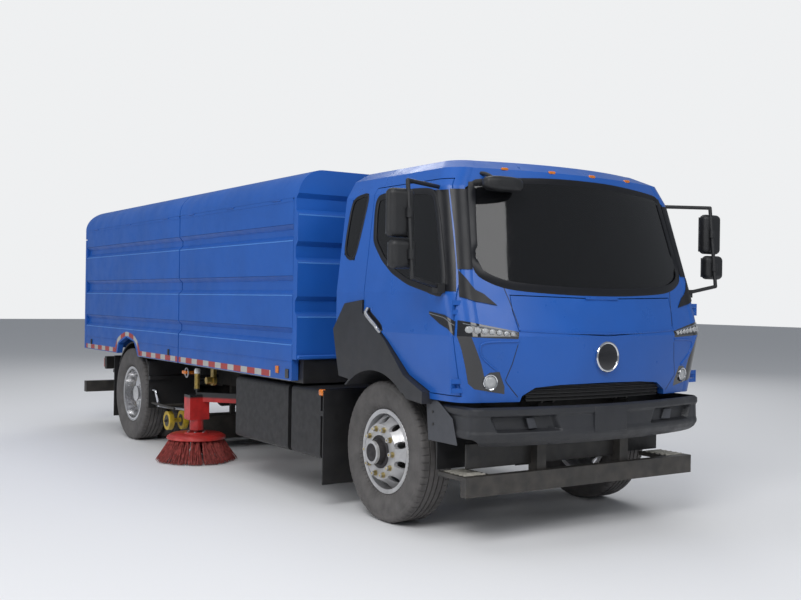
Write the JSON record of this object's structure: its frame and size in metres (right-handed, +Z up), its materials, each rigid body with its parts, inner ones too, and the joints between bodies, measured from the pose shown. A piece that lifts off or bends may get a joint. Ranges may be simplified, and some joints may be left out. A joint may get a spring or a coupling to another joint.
{
  "type": "street_sweeper_truck",
  "caption": "Street sweeper truck: tilting cab, grooved body with gull-wing side doors, tipping hopper, side brushes.",
  "frame": {"origin": "middle of the whole truck's plan on the ground under its wheels", "axes": "-Y is the front of the truck, +X is its left side and +Z is up"},
  "size_m": [3.13, 7.95, 2.625],
  "materials": {
    "body_blue": "semi-gloss",
    "cab_blue": "gloss",
    "frame_black": "satin",
    "plastic_black": "matte",
    "bumper_grey": "satin",
    "brush_red": "semi-gloss",
    "bristle": "matte",
    "wheel_silver": "satin",
    "wheel_polished": "polished",
    "rubber_black": "matte",
    "glass_dark": "clear",
    "lamp_clear": "clear",
    "lamp_red": "gloss",
    "seat_grey": "matte",
    "dash_grey": "matte",
    "wheel_yellow": "satin",
    "steel_grey": "satin",
    "tank_white": "satin",
    "engine_grey": "matte",
    "brass_yellow": "satin",
    "mirror_black": "satin",
    "mirror_glass": "polished",
    "trim_black": "gloss",
    "chrome_trim": "polished",
    "lamp_amber": "gloss",
    "tape_red_white": "gloss"
  },
  "bodies": {
    "chassis": {"frame_rails": "frame_black", "front_axle": "frame_black", "leaf_springs": "frame_black", "rear_axle": "frame_black", "driveline": "frame_black", "engine_block": "engine_grey", "front_bumper": "bumper_grey", "guard_bar": "frame_black", "mudguards": "plastic_black", "side_boxes": "frame_black", "rear_bar": "frame_black", "tail_lamps": "lamp_red", "suction_nozzle": "frame_black", "body_floor": "frame_black", "body_front_wall": "body_blue", "body_roof": "body_blue", "water_tank": "tank_white", "auxiliary_engine": "engine_grey", "brush_brackets": "frame_black", "fill_coupling": "brass_yellow"},
    "cab": {"cab_floor": "cab_blue", "cab_front": "cab_blue", "cab_rear": "cab_blue", "cab_roof": "cab_blue", "cab_glass": "glass_dark", "headlamps": "lamp_clear", "seats": "seat_grey", "dashboard": "dash_grey", "fenders": "plastic_black"},
    "lid": {"front_lid": "cab_blue"},
    "steering": {"steering_wheel": "plastic_black"},
    "hopper": {"hopper_tub": "steel_grey", "hopper_roof": "body_blue"},
    "tail": {"tail_door": "body_blue"},
    "cab_door_left": {"door_left": "cab_blue", "door_glass_left": "glass_dark", "mirror_left": "mirror_black"},
    "steer_left": {"knuckle_left": "frame_black"},
    "front_road_wheel_left": {"front_tyre_left": "rubber_black", "front_wheel_left": "wheel_silver"},
    "rear_road_wheels_left": {"rear_tyres_left": "rubber_black", "rear_wheels_left": "wheel_polished"},
    "front_flap_left": {"front_side_door_left": "body_blue"},
    "rear_flap_left": {"rear_side_door_left": "body_blue"},
    "arm_left": {"brush_arm_left": "brush_red"},
    "broom_left": {"brush_left": "brush_red"},
    "small_wheels_left": {"nozzle_wheels_left": "wheel_yellow"},
    "cab_door_right": {"door_right": "cab_blue", "door_glass_right": "glass_dark", "mirror_right": "mirror_black"},
    "steer_right": {"knuckle_right": "frame_black"},
    "front_road_wheel_right": {"front_tyre_right": "rubber_black", "front_wheel_right": "wheel_silver"},
    "rear_road_wheels_right": {"rear_tyres_right": "rubber_black", "rear_wheels_right": "wheel_polished"},
    "front_flap_right": {"front_side_door_right": "body_blue"},
    "rear_flap_right": {"rear_side_door_right": "body_blue"},
    "arm_right": {"brush_arm_right": "brush_red"},
    "broom_right": {"brush_right": "brush_red"},
    "small_wheels_right": {"nozzle_wheels_right": "wheel_yellow"}
  },
  "joints": [
    {"name": "cab_tilt", "type": "hinge", "parent": "chassis", "child": "cab", "pos_m": [0, -3.755, 0.985], "axis": [1, 0, 0], "range_deg": [0, 45]},
    {"name": "front_lid_hinge", "type": "hinge", "parent": "cab", "child": "lid", "pos_m": [0, -3.86727, 1.62016], "axis": [-1, 0, 0], "range_deg": [0, 75]},
    {"name": "steering_wheel_turn", "type": "hinge", "parent": "cab", "child": "steering", "pos_m": [0.56, -3.275, 1.64], "axis": [0, 0.5, 0.866], "range_deg": [-560, 560]},
    {"name": "hopper_tip", "type": "hinge", "parent": "chassis", "child": "hopper", "pos_m": [0, 3.785, 0.888], "axis": [-1, 0, 0], "range_deg": [0, 45]},
    {"name": "tail_door_hinge", "type": "hinge", "parent": "hopper", "child": "tail", "pos_m": [0, 3.88, 2.284], "axis": [1, 0, 0], "range_deg": [0, 80]},
    {"name": "cab_door_left_hinge", "type": "hinge", "parent": "cab", "child": "cab_door_left", "pos_m": [1.155, -3.703, 1.4], "axis": [0, 0, -1], "range_deg": [0, 65]},
    {"name": "left_steer", "type": "hinge", "parent": "chassis", "child": "steer_left", "pos_m": [0.77, -2.775, 0.506], "axis": [0, 0, 1], "range_deg": [-35, 35]},
    {"name": "front_left_roll", "type": "hinge", "parent": "steer_left", "child": "front_road_wheel_left", "pos_m": [0.942, -2.775, 0.506], "axis": [1, 0, 0], "continuous": true},
    {"name": "rear_left_roll", "type": "hinge", "parent": "chassis", "child": "rear_road_wheels_left", "pos_m": [0.932, 2.225, 0.506], "axis": [1, 0, 0], "continuous": true},
    {"name": "front_side_door_left_hinge", "type": "hinge", "parent": "chassis", "child": "front_flap_left", "pos_m": [1.255, -0.49, 2.391], "axis": [0, -1, 0], "range_deg": [0, 80]},
    {"name": "rear_side_door_left_hinge", "type": "hinge", "parent": "hopper", "child": "rear_flap_left", "pos_m": [1.255, 2.274, 2.391], "axis": [0, -1, 0], "range_deg": [0, 80]},
    {"name": "brush_left_swing", "type": "hinge", "parent": "chassis", "child": "arm_left", "pos_m": [0.62, -0.175, 0.66], "axis": [0, 0, 1], "range_deg": [-20, 22]},
    {"name": "brush_left_spin", "type": "hinge", "parent": "arm_left", "child": "broom_left", "pos_m": [1.15, 0.475, 0.2], "axis": [0, 0, 1], "continuous": true},
    {"name": "nozzle_wheels_left_roll", "type": "hinge", "parent": "chassis", "child": "small_wheels_left", "pos_m": [1.0225, 1.345, 0.292], "axis": [1, 0, 0], "continuous": true},
    {"name": "cab_door_right_hinge", "type": "hinge", "parent": "cab", "child": "cab_door_right", "pos_m": [-1.155, -3.703, 1.4], "axis": [0, 0, 1], "range_deg": [0, 65]},
    {"name": "right_steer", "type": "hinge", "parent": "chassis", "child": "steer_right", "pos_m": [-0.77, -2.775, 0.506], "axis": [0, 0, 1], "range_deg": [-35, 35]},
    {"name": "front_right_roll", "type": "hinge", "parent": "steer_right", "child": "front_road_wheel_right", "pos_m": [-0.942, -2.775, 0.506], "axis": [1, 0, 0], "continuous": true},
    {"name": "rear_right_roll", "type": "hinge", "parent": "chassis", "child": "rear_road_wheels_right", "pos_m": [-0.932, 2.225, 0.506], "axis": [1, 0, 0], "continuous": true},
    {"name": "front_side_door_right_hinge", "type": "hinge", "parent": "chassis", "child": "front_flap_right", "pos_m": [-1.255, -0.49, 2.391], "axis": [0, 1, 0], "range_deg": [0, 80]},
    {"name": "rear_side_door_right_hinge", "type": "hinge", "parent": "hopper", "child": "rear_flap_right", "pos_m": [-1.255, 2.274, 2.391], "axis": [0, 1, 0], "range_deg": [0, 80]},
    {"name": "brush_right_swing", "type": "hinge", "parent": "chassis", "child": "arm_right", "pos_m": [-0.62, -0.175, 0.66], "axis": [0, 0, -1], "range_deg": [-20, 22]},
    {"name": "brush_right_spin", "type": "hinge", "parent": "arm_right", "child": "broom_right", "pos_m": [-1.15, 0.475, 0.2], "axis": [0, 0, 1], "continuous": true},
    {"name": "nozzle_wheels_right_roll", "type": "hinge", "parent": "chassis", "child": "small_wheels_right", "pos_m": [-1.0225, 1.345, 0.292], "axis": [1, 0, 0], "continuous": true}
  ],
  "couplings": [
    {"joint": "right_steer", "follows": "left_steer", "ratio": 1},
    {"joint": "steering_wheel_turn", "follows": "left_steer", "ratio": 16}
  ]
}
